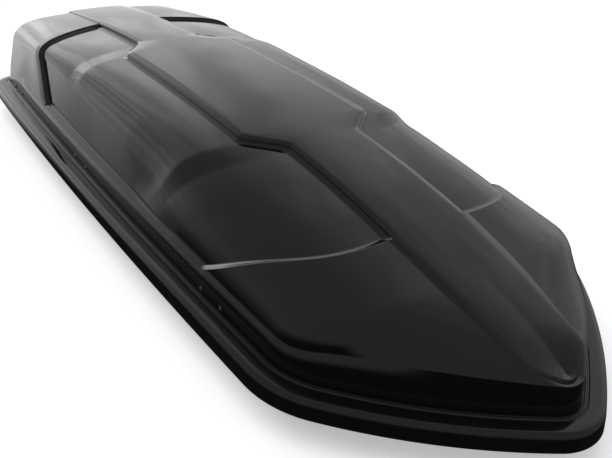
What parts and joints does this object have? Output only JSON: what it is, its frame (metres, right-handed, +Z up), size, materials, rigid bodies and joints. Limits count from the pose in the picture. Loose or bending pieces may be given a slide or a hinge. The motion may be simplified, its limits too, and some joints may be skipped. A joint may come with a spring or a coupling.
{
  "type": "roof cargo box",
  "caption": "Long hard-shell roof cargo box with a pointed nose: glossy side-opening lid with a raised middle strip over a shallow tray with hinges, gas stays, lock and mounting slots.",
  "frame": {"origin": "middle of the box's bounding box at the level of the tray's underside", "axes": "+X forward along the length towards the pointed nose, +Y to the side that opens (lock), -Y to the hinges, +Z up"},
  "size_m": [2.01, 0.788, 0.332],
  "materials": {
    "gloss_black": "high gloss black thermoformed skin with faint orange peel",
    "tray_black": "black plastic with a fine leather grain",
    "satin_black": "satin black injection-moulded plastic",
    "seal_rubber": "matt black extruded rubber",
    "beam_alu": "black anodised pressed sheet",
    "black_steel": "black powder coat on folded steel",
    "zinc_steel": "zinc plated, faint yellow cast",
    "rod_chrome": "hard chromed rod",
    "rivet_black": "black anodised blind rivets",
    "webbing": "black woven polypropylene webbing"
  },
  "bodies": {
    "base": {"base_shell": "tray_black", "rim_seal": "seal_rubber", "base_rail_left": "zinc_steel", "base_rail_right": "zinc_steel", "base_rail_rivets": "zinc_steel", "hinge_base_brackets": "black_steel", "hinge_pins": "zinc_steel", "hinge_base_rivets": "zinc_steel", "stay_base_brackets": "black_steel", "stay_base_pins": "zinc_steel", "lock_keepers": "zinc_steel", "keeper_rivets": "zinc_steel", "strap_anchors": "zinc_steel", "strap_rear": "webbing", "strap_front": "webbing", "strap_buckles": "satin_black"},
    "lid": {"lid_shell": "gloss_black", "lid_beam_rear": "beam_alu", "lid_beam_front": "beam_alu", "hinge_lid_arms": "black_steel", "hinge_lid_rivets": "rivet_black", "stay_lid_brackets": "black_steel", "stay_lid_pins": "zinc_steel", "lock_bezel": "satin_black", "lock_housing": "satin_black", "lock_bar_guides": "satin_black"},
    "stay_cylinder_rear": {"stay_cylinder_rear": "black_steel"},
    "stay_rod_rear": {"stay_rod_rear": "rod_chrome"},
    "stay_cylinder_front": {"stay_cylinder_front": "black_steel"},
    "stay_rod_front": {"stay_rod_front": "rod_chrome"},
    "knob": {"lock_knob": "satin_black", "lock_cam": "zinc_steel"},
    "barrel": {"lock_barrel": "zinc_steel"},
    "lock_bar": {"lock_bar": "zinc_steel"}
  },
  "joints": [
    {"name": "lid_hinge", "type": "hinge", "parent": "base", "child": "lid", "pos_m": [-0.267, -0.3581, 0.066], "axis": [0.9995, -0.0327, 0], "range_deg": [0, 50]},
    {"name": "stay_tilt_rear", "type": "hinge", "parent": "base", "child": "stay_cylinder_rear", "pos_m": [-0.67225, -0.26078, 0.036], "axis": [0.9995, -0.0327, 0], "range_deg": [0, 33]},
    {"name": "stay_slide_rear", "type": "slide", "parent": "stay_cylinder_rear", "child": "stay_rod_rear", "axis": [-0.0025, -0.0767, 0.9971], "range_m": [0, 0.0612]},
    {"name": "stay_tilt_front", "type": "hinge", "parent": "base", "child": "stay_cylinder_front", "pos_m": [0.24775, -0.29092, 0.036], "axis": [0.9995, -0.0327, 0], "range_deg": [0, 33]},
    {"name": "stay_slide_front", "type": "slide", "parent": "stay_cylinder_front", "child": "stay_rod_front", "axis": [-0.0025, -0.0767, 0.9971], "range_m": [0, 0.0612]},
    {"name": "lock_knob_turn", "type": "hinge", "parent": "lid", "child": "knob", "pos_m": [-0.07377, 0.33999, 0.12], "axis": [0.0257, -0.9878, -0.1537], "range_deg": [0, 90]},
    {"name": "key_barrel_turn", "type": "hinge", "parent": "knob", "child": "barrel", "pos_m": [-0.07377, 0.33999, 0.12], "axis": [0.0257, -0.9878, -0.1537], "range_deg": [0, 90]},
    {"name": "lock_bar_slide", "type": "slide", "parent": "lid", "child": "lock_bar", "axis": [0.9997, 0.026, 0], "range_m": [0, 0.014]}
  ],
  "couplings": [
    {"joint": "stay_tilt_rear", "follows": "lid_hinge", "ratio": 0.6556},
    {"joint": "stay_slide_rear", "follows": "lid_hinge", "m_per_rad": 0.069589},
    {"joint": "stay_tilt_front", "follows": "lid_hinge", "ratio": 0.6556},
    {"joint": "stay_slide_front", "follows": "lid_hinge", "m_per_rad": 0.069589},
    {"joint": "lock_knob_turn", "follows": "lock_bar_slide", "rad_per_m": 112.2}
  ]
}
